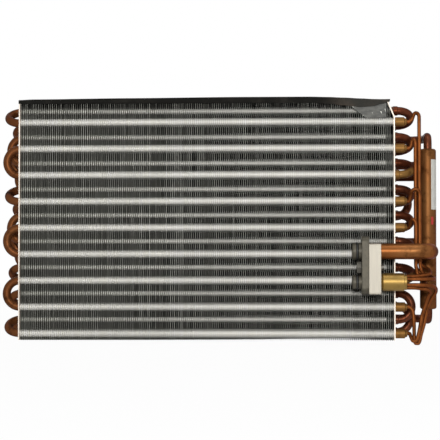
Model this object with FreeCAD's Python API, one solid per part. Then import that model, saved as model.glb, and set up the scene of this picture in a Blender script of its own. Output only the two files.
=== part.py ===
import FreeCAD, Part

import math
import os

# Evaporator core of a vehicle air conditioner: a block of plate fins on copper hairpin tubes.
# +X runs along the tubes towards the pipe end, -Y is the air inlet face and +Z is up.
# The part is drawn about the centre of the fin block's underside. Last it is moved, so that the
# origin is the centre of the whole part's bounding box at its lowest level. Sizes are in mm.

Vector = FreeCAD.Vector
X_AXIS = Vector(1, 0, 0)
Y_AXIS = Vector(0, 1, 0)
Z_AXIS = Vector(0, 0, 1)

# Tube bank
tube_pitch = 25.4
row_pitch = 22.0
row_count = 4
level_count = 9
tube_diameter = 7.94
tube_clearance = 0.08
tube_sides = 8
bend_steps = 5
bell_diameter = 9.2
bell_length = 5.0
hairpin_tangent = 0.8
stub_reveal = 0.3

# Fin block
core_length = 358.8
face_margin = 11.0
foot_margin = 6.35
head_margin = 6.35
fin_pitch = 2.0
collar_cover = 0.9

# End plates
plate_thickness = 1.2
plate_proud = 0.6
bent_height = 15.2
bent_lean = 6.4

# Foam seal on top
seal_thickness = 3.4
seal_crown = 1.0
seal_overhang = 2.6
seal_short = 6.8
lip_thickness = 1.6
lip_length = 68.0
lip_drop = 9.5
lip_end_drop = 6.5
lip_low_point = 0.35

# Suction header and its outlets
header_diameter = 16.0
header_length = 155.0
header_lowering = 7.3
header_setback = 26.0
header_chamfer = 2.0
outlet_radius = 18.0
outlet_inset = 1.0
drop_radius = 8.0

# Connection block and pipes
pipe_diameter = 15.0
pipe_sides = 16
pipe_steps = 6
pipe_height = 84.7
pipe_standoff = 16.0
pipe_gap = 4.029
elbow_radius = 15.0
pipe_reveal = 0.5
block_overlap = 26.2
block_thickness = 11.2
block_depth = 26.0
block_below = 11.5
block_rounding = 2.0
clamp_thickness = 6.6
clamp_depth = 22.0
clamp_rise = 7.3
clamp_rounding = 6.0
port_clearance = 0.1

# Nozzles, their rings and the clamp bolt
suction_nozzle_diameter = 16.0
liquid_nozzle_diameter = 13.5
nozzle_length = 8.8
suction_bore = 12.0
liquid_bore = 7.0
nozzle_chamfer = 0.8
ring_width = 2.4
ring_depth = 1.5
ring_proud = 0.5
ring_offset = 3.6
turned_sides = 24
bolt_diameter = 6.0
bolt_head_width = 11.0
bolt_head_height = 4.6
bolt_head_clearance = 1.075
bolt_tip = 3.0

# Distributor and its feed lines
distributor_diameter = 17.0
distributor_length = 24.6
distributor_waist = 1.0
distributor_rim = 2.4
stem_diameter = 10.0
feed_diameter = 3.2
feed_sides = 6
feed_circle = 5.4
feed_departure = 8.0
feed_entry = 2.0
drawn_hub_reach = 9.6
drawn_hub_standoff = 27.0
drawn_ferrule_length = 12.0
ferrule_length = 12.0
ferrule_neck = 2.2

# Derived places
tube_radius = tube_diameter / 2
bore_radius = tube_radius + tube_clearance
feed_radius = feed_diameter / 2
core_depth = (row_count - 1) * row_pitch + 2 * face_margin
core_height = foot_margin + (level_count - 0.5) * tube_pitch + head_margin
front = -core_depth / 2
left_inner = -core_length / 2
right_inner = core_length / 2
left_outer = left_inner - plate_thickness
right_outer = right_inner + plate_thickness
stub_start = right_outer + stub_reveal
stub_end = right_outer + bell_length
bend_reach = math.hypot(row_pitch, tube_pitch / 2) / 2 + tube_radius
header_x = stub_end + bend_reach + pipe_gap + pipe_diameter / 2
header_y = front + header_setback
header_radius = header_diameter / 2
header_middle = core_height / 2 - header_lowering
header_foot = header_middle - header_length / 2
header_top = header_middle + header_length / 2
entry_margin = header_chamfer + tube_radius + outlet_inset
pipe_y = front - pipe_standoff
suction_ring_radius = suction_nozzle_diameter / 2 + ring_proud
liquid_ring_radius = liquid_nozzle_diameter / 2 + ring_proud
bolt_room = bolt_head_width / 2 + bolt_head_clearance
bolt_height = pipe_height - suction_ring_radius - bolt_room
distributor_height = bolt_height - bolt_room - liquid_ring_radius
block_left = right_outer - block_overlap
block_right = block_left + block_thickness
block_foot = distributor_height - block_below
block_top = pipe_height + pipe_diameter / 2 - pipe_reveal
clamp_left = block_left - clamp_thickness
clamp_top = block_top + clamp_rise
distributor_end = block_right + distributor_length
ferrule_end = right_outer + ferrule_length

# Each circuit lists its passes from the feed inlet to the suction outlet, as row letter and level.
# Hairpins join the passes two by two at the left, and return bends join the hairpins at the right.
circuits = {
    "one": ["F1", "S1", "T1", "Q2"],
    "two": ["F2", "F3", "S3", "S2", "T2", "T3"],
    "three": ["F4", "S4", "T4", "Q5", "Q4", "Q3"],
    "four": ["F5", "F6", "S6", "S5", "T5", "T6"],
    "five": ["F8", "F7", "S7", "T7", "Q7", "Q6"],
    "six": ["F9", "S9", "S8", "T8", "T9", "Q9"],
}
row_letters = "FSTQ"

# Where each feed line leaves the distributor's end face, in degrees round its axis.
feed_angles = {"F1": 90, "F2": 150, "F4": 30, "F5": -30, "F8": 210, "F9": 270}

# Hand-bent routes of the feed lines. Departures are measured from the centre of the distributor's
# end face, arrivals from the mouth of the ferrule that the line enters. They are drawn for the hub
# and ferrules where the drawn_ sizes put them; from other places the bends ease back to these runs.
feed_departures = {
    "F1": [(19.3, 2.5, 6.7), (22.8, 9, 8.7), (22.3, 16, 11.2), (19.3, 21.5, 13.7),
           (14.7, 23.5, 17.2), (14.0, 23.6, 21.2)],
    "F2": [(12.8, -4.7, 2.7), (21.3, -2, 2.7), (26.1, 5.5, 3.0), (25.6, 15, 4.2), (21.3, 21, 6.2),
           (14.8, 23.4, 8.7), (11.0, 23.6, 13.2), (10.4, 23.6, 20.2)],
    "F4": [(15.8, 6.5, 3.0), (19.1, 11.5, 4.2), (18.3, 17, 6.7), (15.3, 19.7, 11.2),
           (14.0, 20, 18.2)],
    "F5": [(14.8, 6.5, -2.6), (17.8, 11.5, -1.3), (16.3, 17.5, 1.7),
           (12.3, 19.8, 6.2), (10.4, 20, 14.2)],
    "F8": [(12.8, -4.7, -2.8), (21.8, -2, -3.3), (27.2, 5.5, -5.3), (28.2, 14.0, -9.8),
           (24.3, 19, -16.8), (20.8, 21.5, -25.8)],
    "F9": [(19.8, 2.5, -6.8), (22.8, 8.5, -9.3), (21.3, 13.6, -13.8),
           (19.3, 17, -20.8), (15.8, 18.8, -31.8)],
}
feed_arrivals = {
    "F1": [(11.6, -3.4, 4.0), (11.2, -2.9, 7.2), (8.6, -1.5, 9.4), (6.2, -0.5, 7.0), (4.9, 0, 2.4)],
    "F2": [(8.0, -3.4, 4.0), (7.6, -2.9, 6.8), (5.8, -1.3, 8.2), (4.6, -0.3, 5.2), (3.8, 0, 1.8)],
    "F4": [(11.6, -7.0, 5.5), (10.6, -7.1, 9.3), (7.4, -7.2, 11.0), (4.4, -5.8, 9.4),
           (3.6, -2.6, 5.6)],
    "F5": [(8.0, -7.0, 2.0), (7.4, -7.0, 5.4), (5.2, -6.2, 7.4), (3.8, -3.4, 5.8)],
    "F8": [(15.4, -4.0, -16.7), (12.8, -3.1, -26.0), (11.5, -2.6, -32.0), (10.1, -2.1, -34.6),
           (8.0, -1.5, -34.6), (6.6, -0.9, -32.0), (6.4, -0.6, -24.0), (6.2, -0.2, -13.0),
           (5.2, 0, -4.0)],
    "F9": [(10.9, -7.0, 3.6), (9.2, -6.2, -4.0), (7.4, -5.6, -6.6), (4.8, -4.8, -6.6),
           (3.2, -2.4, -3.2)],
}


def tube_place(name):
    """Depth and height of a tube: odd rows sit half a pitch above the even ones."""
    row = row_letters.index(name[0])
    level = int(name[1:])
    height = foot_margin + (level_count - level) * tube_pitch + (row % 2) * tube_pitch / 2
    depth = front + face_margin + row * row_pitch
    return depth, height


def tube_point(x, name):
    depth, height = tube_place(name)
    return Vector(x, depth, height)


def unit(vector):
    return vector / vector.Length


def equal_area_radius(radius, sides):
    """Corner radius of the regular polygon that has the circle's area."""
    return radius * math.sqrt(2 * math.pi / (sides * math.sin(2 * math.pi / sides)))


def stations_along(points):
    """Travel directions, mitre normals and a carried cross axis for each point of a route."""
    runs = [unit(points[i + 1] - points[i]) for i in range(len(points) - 1)]
    helper = Z_AXIS if abs(runs[0].dot(Z_AXIS)) < 0.9 else Y_AXIS
    across = unit(helper - runs[0] * helper.dot(runs[0]))
    stations = []
    for i in range(len(points)):
        before = runs[max(i - 1, 0)]
        after = runs[min(i, len(runs) - 1)]
        stations.append((points[i], before, unit(before + after), across))
        turn_axis = before.cross(after)
        if turn_axis.Length > 1e-9:
            turn = math.degrees(before.getAngle(after))
            across = FreeCAD.Rotation(turn_axis, turn).multVec(across)
    return stations


def corner_of(station, radius, angle):
    """Point at a radius and angle round the route, carried along it onto the mitre plane."""
    point, run, mitre, across = station
    offset = across * (radius * math.cos(angle)) + run.cross(across) * (radius * math.sin(angle))
    return point + offset - run * (offset.dot(mitre) / run.dot(mitre))


def solid_from_rings(rings):
    faces = [Part.Face(Part.makePolygon(rings[0] + rings[0][:1]))]
    faces.append(Part.Face(Part.makePolygon(rings[-1] + rings[-1][:1])))
    count = len(rings[0])
    for low, high in zip(rings, rings[1:]):
        for j in range(count):
            k = (j + 1) % count
            faces.append(Part.Face(Part.makePolygon([low[j], low[k], high[k], high[j], low[j]])))
    solid = Part.makeSolid(Part.makeShell(faces))
    if solid.Volume < 0:
        solid.reverse()
    return solid


def flat_sided_tube(points, radius, sides, bell=None):
    """Tube along a route with flats for its round wall. A bell is (length, radius) at the start."""
    corners = equal_area_radius(radius, sides)
    angles = [2 * math.pi * (j + 0.5) / sides for j in range(sides)]
    rings = []
    stations = stations_along(points)
    if bell:
        bell_end = points[0] + unit(points[1] - points[0]) * bell[0]
        bell_corners = equal_area_radius(bell[1], sides)
        for place, size in ((points[0], bell_corners), (bell_end, bell_corners), (bell_end, corners)):
            station = (place, stations[0][1], stations[0][1], stations[0][3])
            rings.append([corner_of(station, size, angle) for angle in angles])
        stations = stations[1:]
    for station in stations:
        rings.append([corner_of(station, corners, angle) for angle in angles])
    return solid_from_rings(rings)


def half_turn(first, second, outward):
    """Points of the half circle from one place to another, bulging outward."""
    centre = (first + second) / 2
    radius = (second - first).Length / 2
    spoke = unit(first - second)
    points = []
    for i in range(bend_steps + 1):
        angle = math.pi * i / bend_steps
        points.append(centre + spoke * (radius * math.cos(angle)) + outward * (radius * math.sin(angle)))
    return points


def quarter_turn(corner, arriving, leaving, radius, steps=3):
    """Points that round a square corner of a route."""
    start = corner - arriving * radius
    points = []
    for i in range(steps + 1):
        angle = math.pi / 2 * i / steps
        reach = arriving * (radius * math.sin(angle))
        points.append(start + reach + leaving * (radius * (1 - math.cos(angle))))
    return points


def box(x0, x1, y0, y1, z0, z1):
    return Part.makeBox(x1 - x0, y1 - y0, z1 - z0, Vector(x0, y0, z0))


def rod(radius, start, length, axis):
    return Part.makeCylinder(radius, length, start, axis)


def sheet_along_y(outline, y0, y1):
    """Prism with an outline of (x, z) corners, running from one depth to another."""
    corners = [Vector(x, y0, z) for x, z in outline]
    face = Part.Face(Part.makePolygon(corners + corners[:1]))
    return face.extrude(Vector(0, y1 - y0, 0))


def hairpin_pairs():
    """Each circuit's passes are joined two by two by a hairpin at the left."""
    return [pair for passes in circuits.values() for pair in zip(passes[::2], passes[1::2])]


def bend_pairs():
    """At the right a return bend joins one hairpin of a circuit to the next."""
    return [pair for passes in circuits.values() for pair in zip(passes[1::2], passes[2::2])]


def hairpin_tube(first, second, radius):
    """Tube bent back on itself at the left, with both legs running to the pipe end."""
    bend_x = left_outer - hairpin_tangent
    turn = half_turn(tube_point(bend_x, first), tube_point(bend_x, second), -X_AXIS)
    route = [tube_point(stub_start, first)] + turn + [tube_point(stub_start, second)]
    return flat_sided_tube(route, radius, tube_sides)


def tube_bores():
    return [hairpin_tube(first, second, bore_radius) for first, second in hairpin_pairs()]


def core_ring(x, inset_y, inset_foot, inset_head):
    """Rectangle round the core at one station, drawn in from the fins' outline."""
    low, high = inset_foot, core_height - inset_head
    near, far = front + inset_y, -front - inset_y
    return [Vector(x, near, low), Vector(x, far, low), Vector(x, far, high), Vector(x, near, high)]


def make_fin_block():
    """Plate fins as sharp edges at their true pitch, closing to a core round the tubes."""
    cover = equal_area_radius(bore_radius, tube_sides) + collar_cover
    insets = (face_margin - cover, foot_margin - cover, head_margin - cover)
    fin_count = int(core_length / fin_pitch)
    first = -(fin_count - 1) * fin_pitch / 2
    rings = [core_ring(left_inner, *insets)]
    for i in range(fin_count):
        middle = first + i * fin_pitch
        rings.append(core_ring(middle, 0, 0, 0))
        rings.append(core_ring(min(middle + fin_pitch / 2, right_inner), *insets))
    rings.append(core_ring(right_inner, *insets))
    block = solid_from_rings(rings)
    corner = [
        (right_inner, core_height - bent_height),
        (right_inner - bent_lean, core_height),
        (right_inner + plate_thickness, core_height),
        (right_inner + plate_thickness, core_height - bent_height),
    ]
    block = block.cut(sheet_along_y(corner, front - plate_proud, -front + plate_proud))
    return block.cut(tube_bores())


def make_left_plate():
    plate = box(left_outer, left_inner, front - plate_proud, -front + plate_proud, 0, core_height)
    return plate.cut(tube_bores())


def make_right_plate():
    """End plate with its top edge knocked inwards, as the photograph shows it."""
    bend_height = core_height - bent_height
    outline = [
        (right_inner, 0),
        (right_inner, bend_height),
        (right_inner - bent_lean, core_height),
        (right_outer - bent_lean, core_height),
        (right_outer, bend_height),
        (right_outer, 0),
    ]
    plate = sheet_along_y(outline, front - plate_proud, -front + plate_proud)
    return plate.cut(tube_bores())


def make_return_bend(first, second):
    """Copper return bend whose two belled ends take the tube ends outside the right plate."""
    turn = half_turn(tube_point(stub_end, first), tube_point(stub_end, second), X_AXIS)
    route = [tube_point(stub_start, first)] + turn + [tube_point(stub_start, second)]
    bend = flat_sided_tube(route, tube_radius, tube_sides)
    bells = [
        flat_sided_tube([tube_point(stub_start, name), tube_point(stub_end, name)],
                        bell_diameter / 2, tube_sides)
        for name in (first, second)
    ]
    return bend.fuse(bells).removeSplitter()


def make_header():
    """Suction header closed by chamfered ends."""
    return turned([
        (header_foot, header_radius - header_chamfer),
        (header_foot + header_chamfer, header_radius),
        (header_top - header_chamfer, header_radius),
        (header_top, header_radius - header_chamfer),
    ], Vector(header_x, header_y, 0), Z_AXIS, X_AXIS)


def make_outlet(name, header):
    """Copper outlet from the last pass of a circuit into the back, top or bottom of the header."""
    depth, height = tube_place(name)
    bell = (bell_length, bell_diameter / 2)
    start = tube_point(stub_start, name)
    corner = Vector(header_x, depth, height)
    bend = min(outlet_radius, depth - header_y - tube_radius)
    points = [start] + quarter_turn(corner, X_AXIS, -Y_AXIS, bend)
    if max(height - header_top, header_foot - height) >= drop_radius:
        up = height < header_foot
        heading = Z_AXIS if up else -Z_AXIS
        points += quarter_turn(Vector(header_x, header_y, height), -Y_AXIS, heading, drop_radius)
        points.append(Vector(header_x, header_y, header_foot if up else header_top))
        return flat_sided_tube(points, tube_radius, tube_sides, bell)
    entry = min(max(height, header_foot + entry_margin), header_top - entry_margin)
    points.append(Vector(header_x, header_y, entry))
    return flat_sided_tube(points, tube_radius, tube_sides, bell).cut(header)


def suction_route():
    """Points of the pipe's axis from the clamp plate, along the face and back into the header."""
    corner = Vector(header_x, pipe_y, pipe_height)
    start = Vector(clamp_left, pipe_y, pipe_height)
    elbow = quarter_turn(corner, X_AXIS, Y_AXIS, elbow_radius, pipe_steps)
    return [start] + elbow + [Vector(header_x, header_y, pipe_height)]


def make_suction_pipe(header):
    pipe = flat_sided_tube(suction_route(), pipe_diameter / 2, pipe_sides)
    return pipe.cut(header)


def port_tools(x0, x1):
    """Tools for the pipe's hole, the stem's hole and the bolt's hole."""
    def at(x, height):
        return on_face(height) + X_AXIS * x

    pipe_radius = pipe_diameter / 2 + port_clearance
    stem_radius = stem_diameter / 2 + port_clearance
    shank_radius = bolt_diameter / 2 + port_clearance
    return [
        flat_sided_tube([at(x0, pipe_height), at(x1, pipe_height)], pipe_radius, pipe_sides),
        turned([(x0, stem_radius), (x1, stem_radius)], at(0, distributor_height)),
        turned([(x0, shank_radius), (x1, shank_radius)], at(0, bolt_height)),
    ]


def edges_along(shape, axis):
    return [edge for edge in shape.Edges if abs(unit(edge.tangentAt(0)).dot(axis)) > 0.999]


def make_connection_block():
    half = block_depth / 2
    block = box(block_left, block_right, pipe_y - half, pipe_y + half, block_foot, block_top)
    block = block.makeFillet(block_rounding, edges_along(block, X_AXIS))
    return block.cut(port_tools(block_left - 1, block_right + 1))


def make_clamp_plate():
    half = clamp_depth / 2
    plate = box(clamp_left, block_left, pipe_y - half, pipe_y + half, block_foot, clamp_top)
    plate = plate.makeFillet(clamp_rounding, edges_along(plate, X_AXIS))
    return plate.cut(port_tools(clamp_left - 1, block_left + 1))


def ring_seat_x():
    """Left edge of the ring groove."""
    return clamp_left - nozzle_length + ring_offset


def turned(profile, centre, along=X_AXIS, side=Y_AXIS):
    """Solid turned about an axis through centre, from (distance along it, radius) steps."""
    other = along.cross(side)
    angles = [2 * math.pi * j / turned_sides for j in range(turned_sides)]
    rings = []
    for reach, radius in profile:
        middle = centre + along * reach
        rings.append([
            middle + side * (radius * math.cos(angle)) + other * (radius * math.sin(angle))
            for angle in angles
        ])
    return solid_from_rings(rings).removeSplitter()


def on_face(height):
    """Point on the plane through the pipes' axes, at a height."""
    return Vector(0, pipe_y, height)


def make_nozzle(radius, bore, axis):
    """Stub that pushes into the valve: a round chamfered nose, and a root behind the ring groove."""
    tip = clamp_left - nozzle_length
    groove = radius - ring_depth
    seat = ring_seat_x()
    nose = rod(radius, axis + X_AXIS * tip, seat - tip, X_AXIS)
    lip = [edge for edge in nose.Edges if edge.BoundBox.XMax < tip + nozzle_chamfer]
    nose = nose.makeChamfer(nozzle_chamfer, lip)
    root = turned([
        (seat, groove),
        (seat + ring_width, groove),
        (seat + ring_width, radius),
        (clamp_left, radius),
    ], axis)
    return nose.fuse(root).cut(turned([(tip, bore / 2), (clamp_left, bore / 2)], axis))


def make_rings():
    """Two rubber sealing rings, one in each nozzle's groove."""
    rings = []
    for radius, height in (
        (suction_ring_radius, pipe_height),
        (liquid_ring_radius, distributor_height),
    ):
        ends = (ring_seat_x(), ring_seat_x() + ring_width)
        ring = turned([(x, radius) for x in ends], on_face(height))
        hole = turned([(x, radius - ring_proud - ring_depth) for x in ends], on_face(height))
        rings.append(ring.cut(hole))
    return Part.makeCompound(rings)


def make_clamp_bolt():
    """Hexagon bolt through the clamp plate and the block, with its tip showing."""
    tip = block_right + bolt_tip
    seat = Vector(clamp_left, pipe_y, bolt_height)
    shank = turned([(clamp_left, bolt_diameter / 2), (tip, bolt_diameter / 2)], on_face(bolt_height))
    corner = bolt_head_width / 2 / math.cos(math.pi / 6)
    points = []
    for i in range(7):
        angle = math.pi / 3 * i
        points.append(seat + Vector(0, corner * math.cos(angle), corner * math.sin(angle)))
    head = Part.Face(Part.makePolygon(points)).extrude(-X_AXIS * bolt_head_height)
    return shank.fuse(head)


def make_distributor():
    """Turned brass distributor: a stem through the block, a waisted body and a rim for the feeds."""
    radius = distributor_diameter / 2
    return turned([
        (clamp_left, stem_diameter / 2),
        (block_right, stem_diameter / 2),
        (block_right, radius - distributor_waist),
        (block_right + distributor_rim, radius),
        (distributor_end - distributor_rim, radius),
        (distributor_end - distributor_rim, radius - distributor_waist),
        (distributor_end, radius - distributor_waist),
    ], on_face(distributor_height))


def ferrule_names():
    """Tubes of the front row that a feed line enters: the first pass of each circuit."""
    return [passes[0] for passes in circuits.values()]


def make_ferrules():
    """Brass reducing ferrules that join the feed lines to the first passes."""
    solids = []
    for name in ferrule_names():
        body_end = ferrule_end - ferrule_neck
        body = flat_sided_tube([tube_point(stub_start, name), tube_point(body_end, name)],
                               bell_diameter / 2, tube_sides)
        neck = flat_sided_tube([tube_point(body_end, name), tube_point(ferrule_end, name)],
                               bell_diameter / 2 - ferrule_neck / 2, tube_sides)
        solids.append(body.fuse(neck))
    return Part.makeCompound(solids)


def eased(anchor, steps, drift):
    """Points stepped off from an anchor that has drifted, with the last where it was drawn."""
    share = 1 / len(steps)
    return [anchor + Vector(*step) - drift * ((i + 1) * share) for i, step in enumerate(steps)]


def feed_route(name):
    """Points of a feed line's axis, from the distributor's end face to its ferrule."""
    hub = Vector(distributor_end, pipe_y, distributor_height)
    angle = math.radians(feed_angles[name])
    start = hub + Vector(0, math.cos(angle), math.sin(angle)) * feed_circle
    mouth = tube_point(ferrule_end, name)
    hub_drift = Vector(
        distributor_end - right_outer - drawn_hub_reach,
        pipe_y - front - face_margin + drawn_hub_standoff,
        0,
    )
    mouth_drift = Vector(ferrule_length - drawn_ferrule_length, 0, 0)
    departure = eased(hub, feed_departures[name], hub_drift)
    arrival = eased(mouth, feed_arrivals[name][::-1], mouth_drift)[::-1]
    start_run = [start, start + X_AXIS * feed_departure]
    return start_run + departure + arrival + [mouth + X_AXIS * feed_entry, mouth]


def make_feeds():
    """Six thin copper feed lines, from the distributor to the ferrules."""
    return {
        name: flat_sided_tube(feed_route(name), feed_radius, feed_sides) for name in ferrule_names()
    }


def make_seal():
    """Foam tape along the top, its front lip sagging over the face near the pipe end."""
    right = right_inner - seal_short + plate_thickness
    lip_start = right - lip_length
    outline_top = Part.Arc(
        Vector(left_outer, front - seal_overhang, core_height + seal_thickness),
        Vector((left_outer + right) / 2, front - seal_overhang,
               core_height + seal_thickness + seal_crown),
        Vector(right, front - seal_overhang, core_height + seal_thickness),
    ).toShape()
    sides = Part.makePolygon([
        Vector(right, front - seal_overhang, core_height + seal_thickness),
        Vector(right, front - seal_overhang, core_height),
        Vector(left_outer, front - seal_overhang, core_height),
        Vector(left_outer, front - seal_overhang, core_height + seal_thickness),
    ])
    tape = Part.Face(Part.Wire([outline_top] + sides.Edges))
    tape = tape.extrude(Vector(0, core_depth + seal_overhang, 0))
    y0 = front - seal_overhang
    sag = Part.Arc(
        Vector(lip_start, y0, core_height),
        Vector(right - lip_length * lip_low_point, y0, core_height - lip_drop),
        Vector(right, y0, core_height - lip_end_drop),
    ).toShape()
    closing = Part.makePolygon([
        Vector(right, y0, core_height - lip_end_drop),
        Vector(right, y0, core_height),
        Vector(lip_start, y0, core_height),
    ])
    lip = Part.Face(Part.Wire([sag] + closing.Edges)).extrude(Vector(0, lip_thickness, 0))
    return tape.fuse(lip).removeSplitter()


def build():
    header = make_header()
    nodes = {
        "fin_block": make_fin_block(),
        "left_end_plate": make_left_plate(),
        "right_end_plate": make_right_plate(),
        "top_seal": make_seal(),
        "suction_header": header,
        "suction_pipe": make_suction_pipe(header),
        "connection_block": make_connection_block(),
        "clamp_plate": make_clamp_plate(),
        "clamp_bolt": make_clamp_bolt(),
        "suction_nozzle": make_nozzle(
            suction_nozzle_diameter / 2, suction_bore, on_face(pipe_height)
        ),
        "liquid_nozzle": make_nozzle(
            liquid_nozzle_diameter / 2, liquid_bore, on_face(distributor_height)
        ),
        "sealing_rings": make_rings(),
        "distributor": make_distributor(),
        "feed_ferrules": make_ferrules(),
    }
    for name, solid in make_feeds().items():
        nodes["feed_line_" + name.lower()] = solid
    for first, second in hairpin_pairs():
        node = "hairpin_" + first.lower() + "_" + second.lower()
        nodes[node] = hairpin_tube(first, second, tube_radius)
    for first, second in bend_pairs():
        node = "return_bend_" + first.lower() + "_" + second.lower()
        nodes[node] = make_return_bend(first, second)
    for passes in circuits.values():
        nodes["outlet_" + passes[-1].lower()] = make_outlet(passes[-1], header)
    return nodes


def centred(nodes):
    """Move every node so that the origin is the bounding box's centre at the lowest level."""
    extent = Part.makeCompound(list(nodes.values())).optimalBoundingBox()
    shift = Vector(-extent.Center.x, -extent.Center.y, -extent.ZMin)
    print("moved by", round(shift.x, 3), round(shift.y, 3), round(shift.z, 3))
    return {name: shape.translated(shift) for name, shape in nodes.items()}


def main():
    os.makedirs("parts", exist_ok=True)
    for name, shape in centred(build()).items():
        shape.exportStep("parts/" + name + ".step")
        print(name, "solids", len(shape.Solids), "volume", round(shape.Volume, 1), shape.isValid())


main()
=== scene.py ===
import math

import bmesh
import bpy
from bpy.props import FloatProperty, FloatVectorProperty, IntProperty, PointerProperty
from mathutils import Matrix, Vector


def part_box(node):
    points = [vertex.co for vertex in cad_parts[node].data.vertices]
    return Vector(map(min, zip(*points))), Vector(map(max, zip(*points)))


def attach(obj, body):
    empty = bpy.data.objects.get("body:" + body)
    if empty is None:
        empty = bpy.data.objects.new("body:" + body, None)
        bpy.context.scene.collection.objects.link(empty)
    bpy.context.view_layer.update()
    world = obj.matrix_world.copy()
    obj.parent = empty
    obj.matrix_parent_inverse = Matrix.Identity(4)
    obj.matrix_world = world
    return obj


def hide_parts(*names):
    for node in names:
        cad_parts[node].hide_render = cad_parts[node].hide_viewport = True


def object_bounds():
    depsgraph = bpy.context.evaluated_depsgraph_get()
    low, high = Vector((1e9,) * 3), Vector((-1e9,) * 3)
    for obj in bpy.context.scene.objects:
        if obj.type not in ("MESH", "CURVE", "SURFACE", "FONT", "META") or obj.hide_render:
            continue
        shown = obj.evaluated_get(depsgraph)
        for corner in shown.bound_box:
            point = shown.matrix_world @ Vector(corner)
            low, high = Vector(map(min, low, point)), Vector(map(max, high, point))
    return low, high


bl_info = {
    "name": "Evaporator core",
    "version": (1, 0, 0),
    "blender": (4, 5, 0),
    "location": "3D View > Sidebar > Evaporator core",
    "description": "Dresses the evaporator core with fins, tubes, fittings and finishes",
    "category": "Object",
}

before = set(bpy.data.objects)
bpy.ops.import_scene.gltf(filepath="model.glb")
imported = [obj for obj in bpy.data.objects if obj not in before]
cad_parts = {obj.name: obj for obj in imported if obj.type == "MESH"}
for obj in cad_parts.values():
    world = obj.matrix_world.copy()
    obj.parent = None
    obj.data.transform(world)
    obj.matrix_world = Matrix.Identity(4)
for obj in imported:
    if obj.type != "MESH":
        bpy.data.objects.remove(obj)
CAD_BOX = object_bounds()

MM = 0.001
X_AXIS = Vector((1, 0, 0))
Y_AXIS = Vector((0, 1, 0))
Z_AXIS = Vector((0, 0, 1))

# Places read from the frame, in metres
CORE_LOW, CORE_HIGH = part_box("fin_block")
LEFT_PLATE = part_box("left_end_plate")
RIGHT_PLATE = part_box("right_end_plate")
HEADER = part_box("suction_header")
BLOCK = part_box("connection_block")
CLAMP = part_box("clamp_plate")
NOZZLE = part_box("suction_nozzle")
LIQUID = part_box("liquid_nozzle")
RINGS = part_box("sealing_rings")
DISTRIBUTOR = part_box("distributor")
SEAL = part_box("top_seal")
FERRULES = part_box("feed_ferrules")

# Tube bank, as the part lays it out
TUBE_PITCH = 25.4 * MM
ROW_PITCH = 22.0 * MM
FACE_MARGIN = 11.0 * MM
FOOT_MARGIN = 6.35 * MM
LEVELS = 9
BELL_RADIUS = 4.6 * MM
BELL_LENGTH = 5.0 * MM
BELL_LIP = 0.35 * MM
BELL_SIDES = 32
FEED_SIDES = 16
PIPE_SIDES = 48
STUB_REVEAL = 0.3 * MM
HAIRPIN_TANGENT = 0.3 * MM
OUTLET_RADIUS = 18.0 * MM
DROP_RADIUS = 8.0 * MM
ELBOW_RADIUS = 15.0 * MM
STEM_RADIUS = 5.0 * MM
FEED_CIRCLE = 5.4 * MM
FEED_DEPARTURE = 8.0 * MM
FEED_ENTRY = 2.0 * MM
BENT_LEAN = 6.4 * MM
BENT_HEIGHT = 15.2 * MM
# Pressed ridges behind the fins' edges, between the levels of the front row, and the pale painted
# bands on the fins at their heights: a painted reflection of the bright collars behind
RIDGE_PITCH = 25.07 * MM
RIDGE_FOOT = 19.67 * MM
# Share of the fins' depth at which their wave begins
WAVE_START = 0.41
# Corners sharper than this many degrees stay crisp, on turned pieces and tubes and on soft sheets
TURNED_CREASE = 35.0
SHEET_CREASE = 28.0
# Corners of the block, the clamp plate and the bolt above this many degrees are broken
BEVEL_ABOVE = 40
# Left edge of the header's label and paint dot, in degrees round the header
PAD_LEFT = 289
WHITE = (1.0, 1.0, 1.0)
ROW_LETTERS = "FSTQ"
CIRCUITS = (
    ("F1", "S1", "T1", "Q2"),
    ("F2", "F3", "S3", "S2", "T2", "T3"),
    ("F4", "S4", "T4", "Q5", "Q4", "Q3"),
    ("F5", "F6", "S6", "S5", "T5", "T6"),
    ("F8", "F7", "S7", "T7", "Q7", "Q6"),
    ("F9", "S9", "S8", "T8", "T9", "Q9"),
)
FEED_ANGLES = {"F1": 90, "F2": 150, "F4": 30, "F5": -30, "F8": 210, "F9": 270}

# Hand-bent routes of the feed lines in millimetres: departures from the centre of the distributor's
# end face, arrivals from the mouth of the ferrule that the line enters. They are the part's, except
# that F1 arrives in a rounder loop.
FEED_DEPARTURES = {
    "F1": [(19.3, 2.5, 6.7), (22.8, 9, 8.7), (22.3, 16, 11.2), (19.3, 21.5, 13.7),
           (14.7, 23.5, 17.2), (14.0, 23.6, 21.2)],
    "F2": [(12.8, -4.7, 2.7), (21.3, -2, 2.7), (26.1, 5.5, 3.0), (25.6, 15, 4.2), (21.3, 21, 6.2),
           (14.8, 23.4, 8.7), (11.0, 23.6, 13.2), (10.4, 23.6, 20.2)],
    "F4": [(15.8, 6.5, 3.0), (19.1, 11.5, 4.2), (18.3, 17, 6.7), (15.3, 19.7, 11.2),
           (14.0, 20, 18.2)],
    "F5": [(14.8, 6.5, -2.6), (17.8, 11.5, -1.3), (16.3, 17.5, 1.7),
           (12.3, 19.8, 6.2), (10.4, 20, 14.2)],
    "F8": [(12.8, -4.7, -2.8), (21.8, -2, -3.3), (27.2, 5.5, -5.3), (28.2, 14.0, -9.8),
           (24.3, 19, -16.8), (20.8, 21.5, -25.8)],
    "F9": [(19.8, 2.5, -6.8), (22.8, 8.5, -9.3), (21.3, 13.6, -13.8),
           (19.3, 17, -20.8), (15.8, 18.8, -31.8)],
}
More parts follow.
